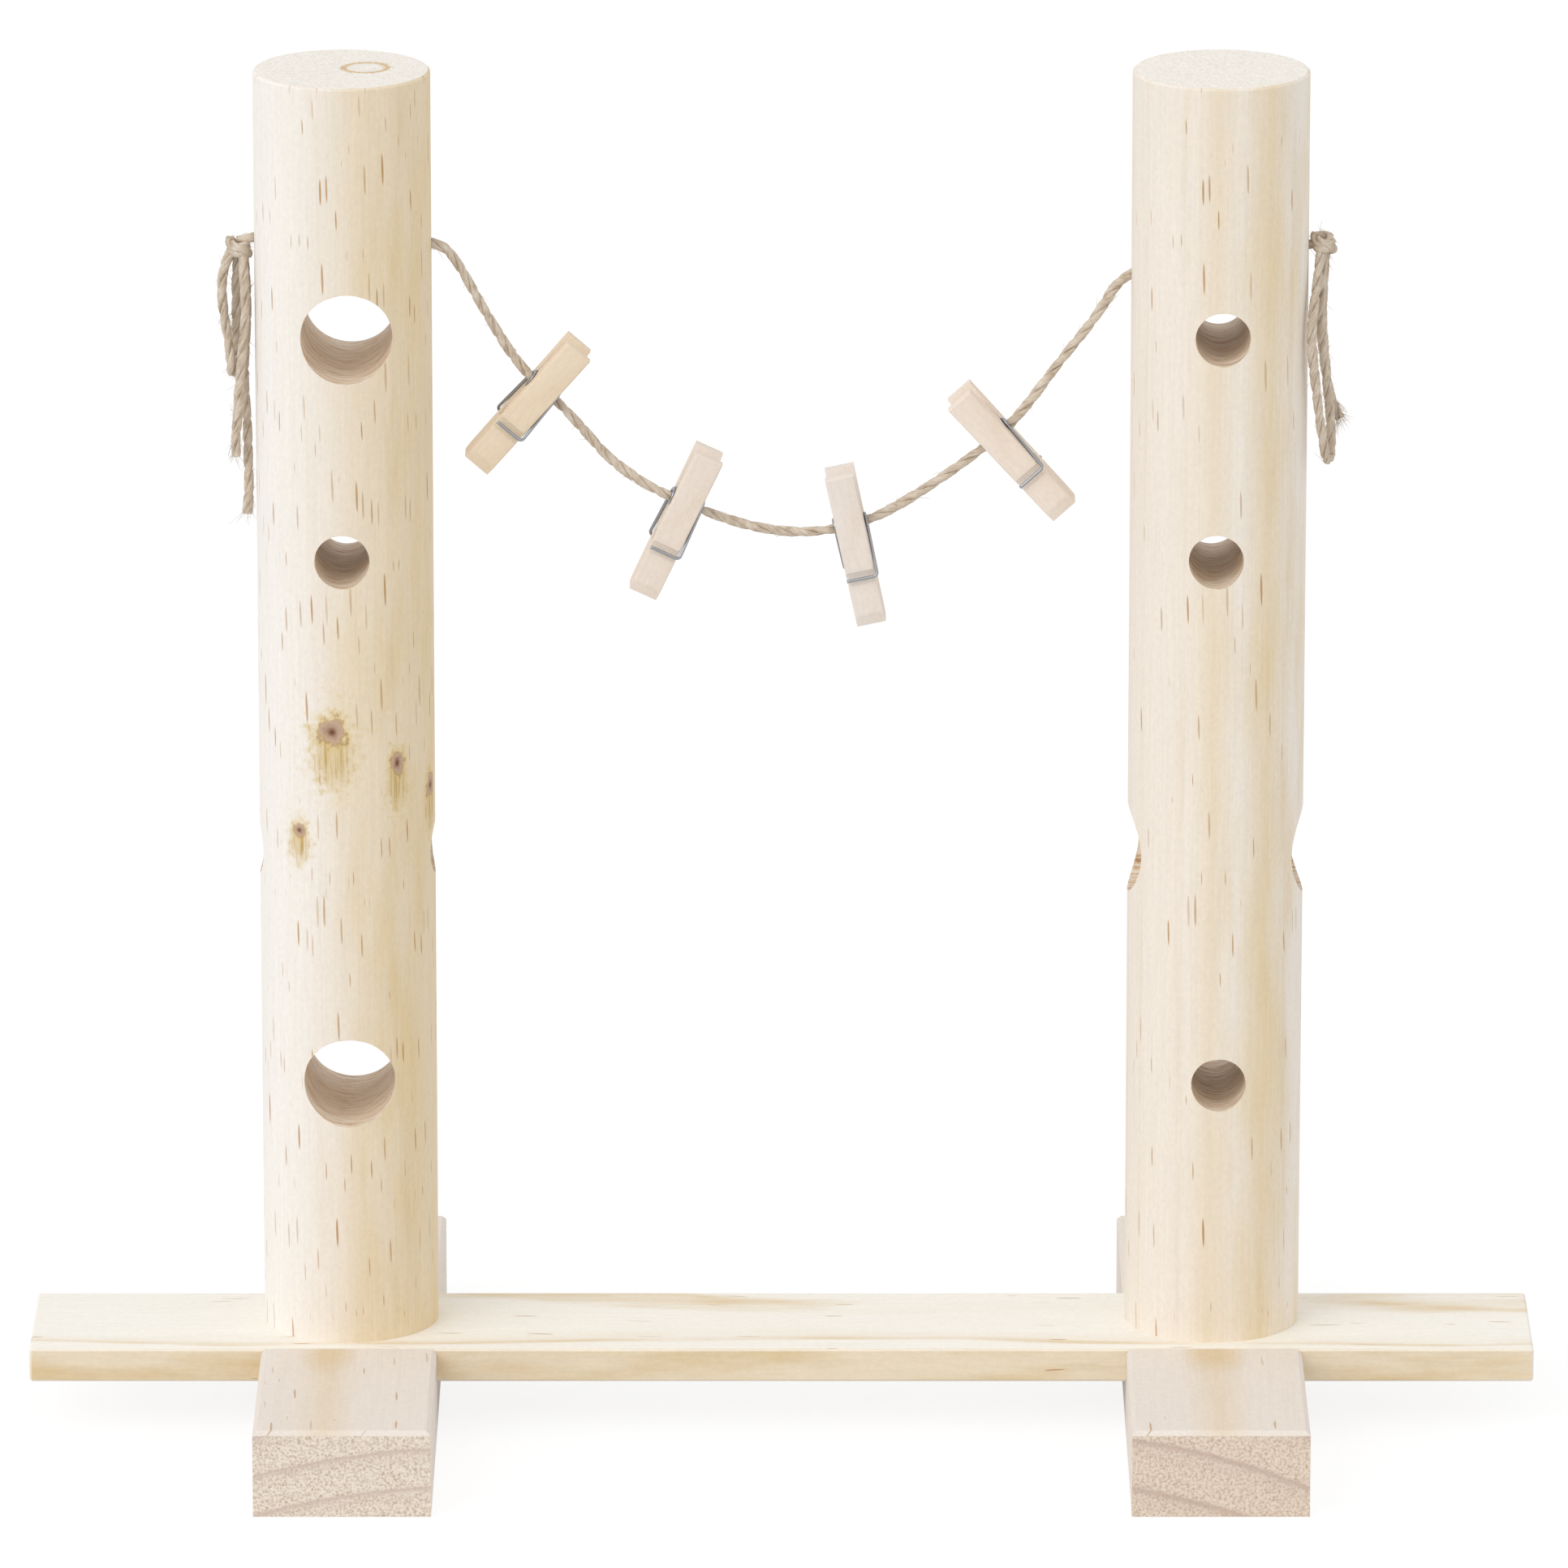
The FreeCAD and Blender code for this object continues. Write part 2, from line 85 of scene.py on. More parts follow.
# Pegs. In a peg's own frame +X is the coil's axis, -Y is the front and -Z runs to the jaw. Millimetres.
PEG_PLACES = {
    "peg_1": (-52.3, 233.0, -41.0),
    "peg_2": (-21.0, 207.1, -25.2),
    "peg_3": (15.2, 202.0, 12.0),
    "peg_4": (47.1, 222.2, 42.2),
}
PEG_WIDTH = 6.4
GROOVE_PLACE = 11.2
CROSSING_REACH = 4.68  # from the peg's middle plane to the wire that crosses a lever
WIRE_RADIUS = 0.36
COIL_RADIUS = 1.76
COIL_END = 3.65
COIL_TURNS = 5  # whole turns, beside the part of one that the arms leave open
COIL_CLOSING = 0.3
ARM_BEND = 0.9

# Twine
PLY_REACH = 0.58 * MM  # half thickness of a ply, outwards from the twine's middle
PLY_BREADTH = 0.86 * MM  # half thickness of a ply, along the seam between the two
PLY_OFFSET = 0.48 * MM
LAY = 11 * MM  # one full turn of the two plies
TWINE_STEP = 0.3 * MM
FIBRE_RADIUS = 0.055 * MM  # drawn about twice as thick as real jute, so that it shows
FIBRE_ROOT = 0.85 * MM  # from the twine's middle to where a stray fibre starts
WRAP_RADIUS = 1.55 * MM  # of the turns that make a knot
WRAP_TURNS = 2.3
PEG_CLEARANCE = 9 * MM  # no stray fibre starts nearer than this to a peg's middle

TWINE_LINE = [
    (-0.1184, 0.0, 0.2659),
    (-0.1158, 0.0, 0.2674),
    (-0.1025, 0.0, 0.2669),
    (-0.0880, 0.0, 0.2664),
    (-0.0747, 0.0, 0.2659),
    (-0.0708, 0.0, 0.2616),
    (-0.0654, 0.0, 0.2512),
    (-0.0572, 0.0, 0.2374),
    (-0.0469, 0.0, 0.2279),
    (-0.0350, 0.0, 0.2134),
    (-0.0151, 0.0, 0.2040),
    (-0.0023, 0.0, 0.2005),
    (0.0088, 0.0, 0.2002),
    (0.0203, 0.0, 0.2032),
    (0.0306, 0.0, 0.2094),
    (0.0429, 0.0, 0.2182),
    (0.0514, 0.0, 0.2257),
    (0.0609, 0.0, 0.2390),
    (0.0690, 0.0, 0.2492),
    (0.0747, 0.0, 0.2592),
    (0.0880, 0.0, 0.2613),
    (0.1025, 0.0, 0.2636),
    (0.1156, 0.0, 0.2656),
    (0.1184, 0.0, 0.2652),
]
LEFT_BOW_LOOP = [
    (-0.1200, -0.0006, 0.2642),
    (-0.1219, -0.0012, 0.2604),
    (-0.1223, -0.0014, 0.2546),
    (-0.1216, -0.0010, 0.2482),
    (-0.1206, -0.0022, 0.2426),
    (-0.1202, -0.00245, 0.2376),
    (-0.1200, 0.0001, 0.2361),
    (-0.1198, 0.00265, 0.2376),
    (-0.1194, 0.0027, 0.2420),
    (-0.1192, 0.0019, 0.2474),
    (-0.1192, 0.0012, 0.2536),
    (-0.1190, 0.0006, 0.2596),
    (-0.1186, 0.0003, 0.2636),
]
LEFT_SHORT_TAIL = [
    (-0.1176, -0.0008, 0.2638),
    (-0.1173, -0.0029, 0.2588),
    (-0.1169, -0.0039, 0.2514),
    (-0.1176, -0.0037, 0.2436),
    (-0.1184, -0.0032, 0.2356),
    (-0.1189, -0.0026, 0.2278),
    (-0.1196, -0.0024, 0.2206),
    (-0.1193, -0.0022, 0.2182),
]
LEFT_LONG_TAIL = [
    (-0.1176, 0.0008, 0.2638),
    (-0.1172, 0.0032, 0.2586),
    (-0.1169, 0.0046, 0.2510),
    (-0.1174, 0.0049, 0.2426),
    (-0.1179, 0.0029, 0.2340),
    (-0.1170, 0.0012, 0.2260),
    (-0.1169, 0.0004, 0.2170),
    (-0.1167, 0.0002, 0.2094),
    (-0.1172, 0.0, 0.2046),
]
RIGHT_BOW_LOOP = [
    (0.1178, -0.0010, 0.2644),
    (0.1171, -0.0034, 0.2594),
    (0.1162, -0.0059, 0.2534),
    (0.1156, -0.0073, 0.2470),
    (0.1160, -0.0072, 0.2408),
    (0.1168, -0.0063, 0.2342),
    (0.1176, -0.0055, 0.2276),
    (0.1186, -0.0050, 0.2214),
    (0.1193, -0.0042, 0.2174),
    (0.1203, 0.0004, 0.2172),
    (0.1204, 0.0009, 0.2214),
    (0.1202, 0.0004, 0.2272),
    (0.1194, -0.0004, 0.2342),
    (0.1184, -0.0012, 0.2414),
    (0.1177, -0.0016, 0.2490),
    (0.1179, -0.0010, 0.2566),
    (0.1183, -0.0004, 0.2638),
]
RIGHT_TAIL = [
    (0.1190, 0.0010, 0.2646),
    (0.1186, 0.0024, 0.2586),
    (0.1182, 0.0032, 0.2504),
    (0.1186, 0.0036, 0.2422),
    (0.1194, 0.0034, 0.2346),
    (0.1206, 0.0026, 0.2290),
    (0.1224, 0.0016, 0.2256),
]
# Each cord: its route, the way its faces are turned, its real length, its far end, its stray fibres and
# the fibres of its frayed end
CORDS = {
    "twine_line": (TWINE_LINE, (0, 1, 0), 0.2912, "knot", 150, 0),
    "left_bow_loop": (LEFT_BOW_LOOP, (1, 0, 0), 0.0586, "knot", 90, 0),
    "left_short_tail": (LEFT_SHORT_TAIL, (1, 0, 0), 0.0462, "bare", 80, 26),
    "left_long_tail": (LEFT_LONG_TAIL, (1, 0, 0), 0.0603, "bare", 90, 26),
    "right_bow_loop": (RIGHT_BOW_LOOP, (1, 0, 0), 0.0991, "knot", 120, 0),
    "right_tail": (RIGHT_TAIL, (1, 0, 0), 0.0400, "bare", 70, 70),
}
KNOT_PLACES = {"left_knot": (-0.1184, 0.0, 0.2646), "right_knot": (0.1184, 0.0, 0.2656)}

# Camera and light
AIM = Vector((0.000559, -0.02025, 0.1496))
PITCH = math.radians(16)
CAMERA_DISTANCE = 3.2
LENS = 335.7
AMBIENT = 0.74
FLOOR_GLOW = 0.84  # of the floor itself, where the camera or a gloss sees it
# Each lamp: its strength, how wide it looks in degrees, and the way its light goes
KEY = (1.0, 50, (0.62, 0.62, -0.62))
FILL = (0.30, 80, (-0.85, 0.45, -0.3))

# Pine's tones, from the white wood under the bark to the yellow heart, and the greyer wood of the feet.
# On the posts these run from white at the left to tan at the right: partly paler and yellower wood, partly painted
# highlight and shade from the key light at the left.
SAPWOOD_AND_HIGHLIGHT = "#F8F3EC"
CREAM_WOOD = "#F3EADE"
TAN_WOOD = "#EDDEC6"
GOLDEN_WOOD = "#EBD9BA"
GREY_WOOD = "#EDE3D9"
TAN_STRIPE = "#E8D8C1"
LATE_WOOD = "#E6CFA6"
YELLOWED = "#E3C98F"
STAIN = "#DFC69D"
RESIN = "#B07B28"
KNOT_GLOW = "#E6D09A"
KNOT_SWIRL = "#B9964E"
HEART_RIM = "#D3AE6C"

# Patterns: how often a noise repeats in a metre. On wood, Z runs along the fibres
FIBRE_SWAY = (38, 38, 9)
MOTTLING = (130, 130, 24)
FIBRES = (1700, 1700, 42)  # real fibres are 0.03 mm wide: these are drawn 0.6 mm wide, so that they show
TORN_CELLS = 1250
END_PORES = 1700  # drawn 0.6 mm wide, far coarser than the real pores, so that they show
DRILL_MARKS = (130, 1900, 130)
JUTE_STRANDS = (330, 4200, 1)  # along a ply and round it
DUCT_CELL = (1.7 * MM, 24 * MM)  # a patch of this size holds one resin duct or none

rng = np.random.default_rng(7)


# Node helpers


def colour(code):
    """An sRGB hex colour as linear red, green, blue and alpha."""
    parts = [int(code[i : i + 2], 16) / 255 for i in (1, 3, 5)]
    return (*[c / 12.92 if c <= 0.04045 else ((c + 0.055) / 1.055) ** 2.4 for c in parts], 1)


def add(tree, kind, inputs, stops=(), **settings):
    """Add one node with its settings. Each input takes a value, a socket or a node's first output."""
    node = tree.nodes.new("ShaderNode" + kind)
    for name, value in settings.items():
        setattr(node, name, value)
    for name, value in inputs.items():
        if isinstance(value, bpy.types.Node):
            value = value.outputs[0]
        if isinstance(value, bpy.types.NodeSocket):
            tree.links.new(value, node.inputs[name])
        else:
            node.inputs[name].default_value = value
    if stops:
        while len(node.color_ramp.elements) < len(stops):
            node.color_ramp.elements.new(1)
        for element, (place, shade) in zip(node.color_ramp.elements, stops):
            element.position = place
            element.color = colour(shade)
    return node


def new_material(name):
    material = bpy.data.materials.new(name)
    material.use_nodes = True
    material.node_tree.nodes.clear()
    return material, material.node_tree


def close(tree, **inputs):
    """Add the surface shader and the output. Names of inputs have spaces for underscores."""
    shader = add(tree, "BsdfPrincipled", {name.replace("_", " "): value for name, value in inputs.items()})
    add(tree, "OutputMaterial", {"Surface": shader})


# Materials


def pine(
    name, middle, turn, half_width, tones, pith, spacing, ring=0.3, gold=0.0, dashes=0.0, slant=0.03, around=False,
    sawn=("#E9DECF", "#FDF9F2", "#F6EFE5"), wander=2.0, faces=None, knots=(), holes=None, heart=None, patch=None,
):
    """Planed or turned softwood, unfinished: pale and dry, with fine fibre, tan growth rings and resin ducts.

    middle is a point on the piece's middle line, and turn takes the object's axes to the grain's, whose Z runs
    along the fibres. tones colour the wood across the grain's X, from one side of the piece to the other. pith is
    where the rings' centre is in the grain's X and Y, and ring is how strongly they show. gold is how far the
    wood yellows in patches, and dashes the share of resin ducts that show: thin brown dashes 3 to 10 mm long,
    spread round a turned piece or across a flat one. slant is how far they lean, and wander how many millimetres
    the fibres do. sawn is the end grain's pore, wood and ring colours. faces is a side and its two tones, holes a
    post's middle and its drilled holes, heart the radius of the ring round the pith, and patch a stain's middle
    and the inverse of its reach on each axis.
    """
    material, tree = new_material(name)
    spot = add(tree, "TexCoord", {})
    here = spot.outputs["Object"]
    turned = Matrix.Rotation(turn[1], 3, turn[0])
    place = turned @ Vector(middle)
    grain = add(tree, "Mapping", {"Vector": here, "Location": -place, "Rotation": turned.to_euler()})

    # The fibres wander by a millimetre or two over the piece's length
    slow = add(tree, "VectorMath", {0: grain, 1: FIBRE_SWAY}, operation="MULTIPLY")
    sway = add(tree, "TexNoise", {"Vector": slow, "Scale": 1, "Detail": 2})
    bow = add(tree, "VectorMath", {0: sway.outputs["Color"], 1: (0.5, 0.5, 0.5)}, operation="SUBTRACT")
    bow = add(tree, "VectorMath", {0: bow, "Scale": 4 * wander * MM}, operation="SCALE")
    wavy = add(tree, "VectorMath", {0: grain, 1: bow}, operation="ADD")
    parts = add(tree, "SeparateXYZ", {0: wavy})
    across, deep, along = parts.outputs

    # Colour from one side of the piece to the other
    share = add(tree, "MapRange", {"Value": across, 1: -half_width, 2: half_width})
    base = add(tree, "ValToRGB", {0: share}, stops=tones)
    mottled = add(tree, "VectorMath", {0: wavy, 1: MOTTLING}, operation="MULTIPLY")
    mottle = add(tree, "TexNoise", {"Vector": mottled, "Scale": 1, "Detail": 3, "Roughness": 0.55})
    if gold:
        warm = add(tree, "MapRange", {"Value": mottle.outputs[0], 1: 0.44, 2: 0.68, 3: 0.0, 4: gold})
        # The yellowing is kept to the right side of a piece: on the posts this right-side darkening is partly
        # painted shade from the key light at the left.
        side = add(tree, "MapRange", {"Value": share, 1: 0.3, 2: 0.75})
        warm = add(tree, "Math", {0: warm, 1: side}, operation="MULTIPLY")
        base = add(tree, "MixRGB", {0: warm, 1: base, 2: colour(YELLOWED)})

    # Growth rings round the pith: they darken slowly outwards and end sharply
    aside = add(tree, "Math", {0: across, 1: pith[0]}, operation="SUBTRACT")
    beyond = add(tree, "Math", {0: deep, 1: pith[1]}, operation="SUBTRACT")
    gap = add(tree, "CombineXYZ", {0: aside, 1: beyond})
    radius = add(tree, "VectorMath", {0: gap}, operation="LENGTH").outputs["Value"]
    if knots:
        near_knot, near_swirl = knot_distances(tree, here, knots)
        swell = add(tree, "MapRange", {"Value": near_swirl, 1: 0.2, 2: 2.2, 3: 5 * MM, 4: 0.0},
                    interpolation_type="SMOOTHERSTEP")
        radius = add(tree, "Math", {0: radius, 1: swell}, operation="ADD")
    phase = add(tree, "Math", {0: radius, 1: spacing}, operation="DIVIDE")
    phase = add(tree, "Math", {0: phase}, operation="FRACT")
    late = add(tree, "ValToRGB", {0: phase}, stops=[
        (0.0, "#505050"), (0.08, "#000000"), (0.5, "#222222"),
        (0.82, "#8c8c8c"), (0.93, "#ffffff"), (1.0, "#505050"),
    ])
    seen = add(tree, "MapRange", {"Value": mottle.outputs[0], 1: 0.32, 2: 0.62, 3: 0.15 * ring, 4: ring})
    ringed = add(tree, "Math", {0: late, 1: seen}, operation="MULTIPLY")
    tan = add(tree, "MixRGB", {0: 1, 1: base, 2: colour(LATE_WOOD)}, blend_type="MULTIPLY")
    base = add(tree, "MixRGB", {0: ringed, 1: base, 2: tan})

    # Faces on which the saw met other rings, and a stained patch
    if faces:
        side = add(tree, "VectorMath", {0: spot.outputs["Normal"], 1: faces[0]}, operation="DOT_PRODUCT")
        side = add(tree, "Math", {0: side.outputs["Value"]}, operation="ABSOLUTE")
        side = add(tree, "MapRange", {"Value": side, 1: 0.45, 2: 0.95})
        tinted = add(tree, "ValToRGB", {0: mottle.outputs[0]}, stops=[(0.35, faces[1]), (0.6, faces[2])])
        base = add(tree, "MixRGB", {0: side, 1: base, 2: tinted})
    if patch:
        off = add(tree, "VectorMath", {0: here, 1: patch[0]}, operation="SUBTRACT")
        off = add(tree, "VectorMath", {0: off, 1: patch[1]}, operation="MULTIPLY")
        off = add(tree, "VectorMath", {0: off}, operation="LENGTH").outputs["Value"]
        off = add(tree, "Math", {0: off, 1: mottle.outputs[0]}, operation="ADD")
        stain = add(tree, "MapRange", {"Value": off, 1: 1.55, 2: 0.75, 3: 0.0, 4: 0.75})
        base = add(tree, "MixRGB", {0: stain, 1: base, 2: colour(STAIN)})

    # Fibre, and the flecks of torn cells
    fine = add(tree, "VectorMath", {0: wavy, 1: FIBRES}, operation="MULTIPLY")
    fibre = add(tree, "TexNoise", {"Vector": fine, "Scale": 1, "Detail": 3, "Roughness": 0.62})
    fleck = add(tree, "MapRange", {"Value": fibre.outputs[0], 1: 0.3, 2: 0.72, 3: 0.955, 4: 1.02})
    base = add(tree, "MixRGB", {0: 1, 1: base, 2: fleck}, blend_type="MULTIPLY")
    cells = add(tree, "VectorMath", {0: grain, 1: (1, 1, 0.55)}, operation="MULTIPLY")
    grit = add(tree, "TexNoise", {"Vector": cells, "Scale": TORN_CELLS, "Detail": 2, "Roughness": 0.7})
    speck = add(tree, "MapRange", {"Value": grit.outputs[0], 1: 0.34, 2: 0.66, 3: 0.965, 4: 1.02})
    base = add(tree, "MixRGB", {0: 1, 1: base, 2: speck}, blend_type="MULTIPLY")

    # Resin ducts
    if around:
        front = add(tree, "Math", {0: deep, 1: -1}, operation="MULTIPLY")
        sweep = add(tree, "Math", {0: across, 1: front}, operation="ARCTAN2")
        sweep = add(tree, "Math", {0: sweep, 1: half_width}, operation="MULTIPLY")
    else:
        sweep = add(tree, "Math", {0: across, 1: deep}, operation="ADD")
    sweep = add(tree, "Math", {0: along, 1: slant, 2: sweep}, operation="MULTIPLY_ADD")
    flat = add(tree, "CombineXYZ", {0: sweep, 1: along})
    flat = add(tree, "VectorMath", {0: flat, 1: (1 / DUCT_CELL[0], 1 / DUCT_CELL[1], 0)}, operation="MULTIPLY")
    duct = add(tree, "TexVoronoi", {"Vector": flat, "Scale": 1}, voronoi_dimensions="2D")
    lot = add(tree, "SeparateColor", {0: duct.outputs["Color"]})
    shown = add(tree, "Math", {0: lot.outputs[0], 1: dashes}, operation="LESS_THAN")
    wide = add(tree, "MapRange", {"Value": lot.outputs[1], 3: 0.045, 4: 0.17})
    edge = add(tree, "Math", {0: wide, 1: duct.outputs["Distance"]}, operation="SUBTRACT")
    dark = add(tree, "MapRange", {"Value": edge, 1: 0.0, 2: 0.035})
    dark = add(tree, "Math", {0: dark, 1: shown}, operation="MULTIPLY")
    strength = add(tree, "MapRange", {"Value": lot.outputs[2], 3: 0.3, 4: 0.85})
    dark = add(tree, "Math", {0: dark, 1: strength}, operation="MULTIPLY")
    base = add(tree, "MixRGB", {0: dark, 1: base, 2: colour(RESIN)})

    # Knots: a yellow glow, dark strokes in the swirl below, and the knot itself from its heart to its rim
    if knots:
        stroke = add(tree, "MapRange", {"Value": fibre.outputs[0], 1: 0.45, 2: 0.64, 3: 0.22, 4: 0.9})
        glow = add(tree, "MapRange", {"Value": near_swirl, 1: 1.5, 2: 0.5, 3: 0.0, 4: 0.6})
        base = add(tree, "MixRGB", {0: glow, 1: base, 2: colour(KNOT_GLOW)})
        swirl = add(tree, "MapRange", {"Value": near_swirl, 1: 1.15, 2: 0.4})
        swirl = add(tree, "Math", {0: swirl, 1: stroke}, operation="MULTIPLY")
        base = add(tree, "MixRGB", {0: swirl, 1: base, 2: colour(KNOT_SWIRL)})
        half = add(tree, "Math", {0: near_knot, 1: 0.5}, operation="MULTIPLY")
        core = add(tree, "ValToRGB", {0: half}, stops=[
            (0.0, "#4A2716"), (0.1, "#84563F"), (0.2, "#AC8A74"),
            (0.42, "#C4A78F"), (0.5, "#B08A52"), (0.62, "#DCC180"),
        ])
        cover = add(tree, "ValToRGB", {0: half}, stops=[
            (0.0, "#ffffff"), (0.46, "#f0f0f0"), (0.55, "#c0c0c0"), (0.76, "#808080"), (1.0, "#000000"),
        ])
        base = add(tree, "MixRGB", {0: cover, 1: base, 2: core})

    # End grain: open pores, with the rings as smoother bands
    fibres_run = tuple(turned.transposed() @ Vector((0, 0, 1)))
    facing = add(tree, "VectorMath", {0: spot.outputs["Normal"], 1: fibres_run}, operation="DOT_PRODUCT")
    facing = add(tree, "Math", {0: facing.outputs["Value"]}, operation="ABSOLUTE")
    end = add(tree, "MapRange", {"Value": facing, 1: 0.8, 2: 0.93})
    pores = add(tree, "TexNoise", {"Vector": here, "Scale": END_PORES, "Detail": 2, "Roughness": 0.6})
    pore = add(tree, "MapRange", {"Value": pores.outputs[0], 1: 0.28, 2: 0.58})
    cut = add(tree, "MixRGB", {0: pore, 1: colour(sawn[0]), 2: colour(sawn[1])})
    band = add(tree, "Math", {0: late, 1: 0.9}, operation="MULTIPLY")
    cut = add(tree, "MixRGB", {0: band, 1: cut, 2: colour(sawn[2])})
    if heart:
        ragged = add(tree, "Math", {0: pores.outputs[0], 1: 3.2 * MM, 2: radius}, operation="MULTIPLY_ADD")
        off = add(tree, "Math", {0: ragged, 1: heart + 1.6 * MM}, operation="SUBTRACT")
        off = add(tree, "Math", {0: off}, operation="ABSOLUTE")
        rim = add(tree, "MapRange", {"Value": off, 1: 1.1 * MM, 2: 0.3 * MM, 3: 0.0, 4: 0.85})
        cut = add(tree, "MixRGB", {0: rim, 1: cut, 2: colour(HEART_RIM)})
    base = add(tree, "MixRGB", {0: end, 1: base, 2: cut})

    # Drilled walls, torn by the drill, and the bump that fibre, pores and ducts give
    rough = end
    if holes:
        bored = hole_walls(tree, here, *holes)
        marks = add(tree, "VectorMath", {0: here, 1: DRILL_MARKS}, operation="MULTIPLY")
        chew = add(tree, "TexNoise", {"Vector": marks, "Scale": 1, "Detail": 4, "Roughness": 0.7})
        torn = add(tree, "ValToRGB", {0: chew.outputs[0]}, stops=[
            (0.3, "#A87B55"), (0.42, "#DDBF9A"), (0.54, "#F5E7D5"), (0.75, "#FEFAF4"),
        ])
        base = add(tree, "MixRGB", {0: bored, 1: base, 2: torn})
        rough = add(tree, "Math", {0: end, 1: bored}, operation="MAXIMUM")
    soft = add(tree, "MapRange", {"Value": rough, 3: 0.10, 4: 0.8})
    height = add(tree, "Math", {0: fibre.outputs[0], 1: pores.outputs[0]}, operation="ADD")
    height = add(tree, "Math", {0: dark, 1: -0.3, 2: height}, operation="MULTIPLY_ADD")
    bump = add(tree, "Bump", {"Height": height, "Strength": soft, "Distance": 0.25 * MM})
    close(tree, Base_Color=base, Roughness=0.62, IOR=1.5, Normal=bump)
    return material


def knot_distances(tree, here, knots):
    """How far a point on the post's front is from the nearest knot and from the nearest swirl of grain below one.

    The first is in knot radii. The second is in radii of the swirl, a taller oval set lower by one knot.
    """
    front = add(tree, "SeparateXYZ", {0: here})
    behind = add(tree, "MapRange", {"Value": front.outputs[1], 1: 0.0, 2: 3 * MM, 3: 0.0, 4: 20.0})
    ragged = add(tree, "TexNoise", {"Vector": here, "Scale": 520, "Detail": 4, "Roughness": 0.65})
    found = []
    for drop, wider, taller, low, high in ((0, 1, 1, 0.62, 1.38), (1.5, 1.9, 3.2, 0.6, 1.5)):
        uneven = add(tree, "MapRange", {"Value": ragged.outputs[0], 1: 0.3, 2: 0.7, 3: low, 4: high})
        nearest = None
        for x, z, half_width, half_height in knots:
            place = add(tree, "VectorMath", {0: here, 1: (x, 0, z - drop * half_height)}, operation="SUBTRACT")
            size = (1 / (wider * half_width), 0, 1 / (taller * half_height))
            place = add(tree, "VectorMath", {0: place, 1: size}, operation="MULTIPLY")
            distance = add(tree, "VectorMath", {0: place}, operation="LENGTH").outputs["Value"]
            nearest = add(tree, "Math", {0: distance, 1: nearest}, operation="MINIMUM") if nearest else distance
        nearest = add(tree, "Math", {0: nearest, 1: uneven}, operation="MULTIPLY")
        found.append(add(tree, "Math", {0: nearest, 1: behind}, operation="ADD").outputs[0])
    return found


def hole_walls(tree, here, x, holes):
    """1 on the walls of a post's drilled holes, and 0 on its outside."""
    wall = None
    for way, flat in (("front_to_back", (1, 0, 1)), ("side_to_side", (0, 1, 1))):
        for offset, level, radius in holes[way]:
            middle = (x + offset, 0, BOARD_TOP + level) if flat[0] else (0, POST_Y + offset, BOARD_TOP + level)
            place = add(tree, "VectorMath", {0: here, 1: flat}, operation="MULTIPLY")
            place = add(tree, "VectorMath", {0: place, 1: middle}, operation="SUBTRACT")
            distance = add(tree, "VectorMath", {0: place}, operation="LENGTH").outputs["Value"]
            inside = add(tree, "MapRange", {"Value": distance, 1: radius + 0.12 * MM, 2: radius + 0.04 * MM})
            wall = add(tree, "Math", {0: inside, 1: wall}, operation="MAXIMUM") if wall else inside
    return wall


def jute():
    """Spun jute, undyed: coarse straw-grey fibres that run along each ply, with darker streaks that are partly
    painted shade.
    """
    material, tree = new_material("spun_jute")
    spot = add(tree, "TexCoord", {})
    along = add(tree, "VectorMath", {0: spot.outputs["UV"], 1: JUTE_STRANDS}, operation="MULTIPLY")
    strand = add(tree, "TexNoise", {"Vector": along, "Scale": 1, "Detail": 3, "Roughness": 0.65})
    blotch = add(tree, "TexNoise", {"Vector": spot.outputs["Object"], "Scale": 330, "Detail": 2})
    mixed = add(tree, "Math", {0: strand.outputs[0], 1: 0.7}, operation="MULTIPLY")
    mixed = add(tree, "Math", {0: blotch.outputs[0], 1: 0.3, 2: mixed}, operation="MULTIPLY_ADD")
    # The darkest stops are partly painted shade, the dark of the seams between the plies, laid in streaks along
    # each ply by the noise beside the jute's own darker and paler fibres.
    base = add(tree, "ValToRGB", {0: mixed}, stops=[
        (0.30, "#8A745E"), (0.40, "#B9A58D"), (0.52, "#D8C9B6"), (0.70, "#F1E9DD"),
    ])
    bump = add(tree, "Bump", {"Height": strand.outputs[0], "Strength": 0.7, "Distance": 0.15 * MM})
    close(tree, Base_Color=base, Roughness=0.9, Normal=bump)
    return material


def bright_wire():
    """Drawn spring steel, bright: a smooth round wire with faint draw lines that break up its reflection."""
    material, tree = new_material("bright_spring_wire")
    spot = add(tree, "TexCoord", {})
    lines = add(tree, "TexNoise", {"Vector": spot.outputs["Object"], "Scale": 900, "Detail": 2})
    rough = add(tree, "MapRange", {"Value": lines.outputs[0], 3: 0.14, 4: 0.34})
    close(tree, Base_Color=colour("#9C9EA2"), Metallic=1.0, Roughness=rough)
    return material


def zinc():
    """Zinc-plated screw steel: grey, slightly mottled and only half bright."""
    material, tree = new_material("zinc_plate")
    spot = add(tree, "TexCoord", {})
    mottle = add(tree, "TexNoise", {"Vector": spot.outputs["Object"], "Scale": 700, "Detail": 2})
    base = add(tree, "ValToRGB", {0: mottle.outputs[0]}, stops=[(0.35, "#A9AAA8"), (0.65, "#C4C4C0")])
    close(tree, Base_Color=base, Metallic=1.0, Roughness=0.38)
    return material


# Lines and tubes


def unit(vectors):
    return vectors / np.linalg.norm(vectors, axis=-1, keepdims=True)


